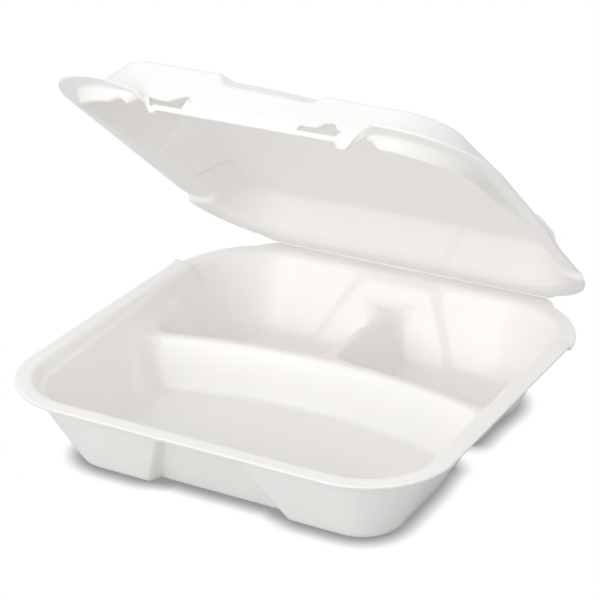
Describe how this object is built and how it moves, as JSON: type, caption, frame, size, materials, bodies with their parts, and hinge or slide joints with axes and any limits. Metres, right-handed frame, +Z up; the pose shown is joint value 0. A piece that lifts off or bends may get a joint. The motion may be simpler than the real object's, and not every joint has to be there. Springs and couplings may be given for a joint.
{
  "type": "foam clamshell container",
  "caption": "Square hinged foam food box: a low tray with three compartments under a domed lid that stands half open on its crease.",
  "frame": {"origin": "centre of the tray's flat underside, on the table", "axes": "+Z up, -Y towards the front edge that opens, +Y towards the hinge crease, +X to the right seen from the front"},
  "size_m": [0.235, 0.2365, 0.1961],
  "materials": {
    "white_foam": "satin expanded polystyrene foam sheet"
  },
  "bodies": {
    "tray": {"base_tray": "white_foam"},
    "lid": {"lid": "white_foam"}
  },
  "joints": [
    {"name": "lid_hinge", "type": "hinge", "parent": "tray", "child": "lid", "pos_m": [0, 0.1175, 0.04245], "axis": [-1, 0, 0], "range_deg": [-39.5, 140]}
  ]
}
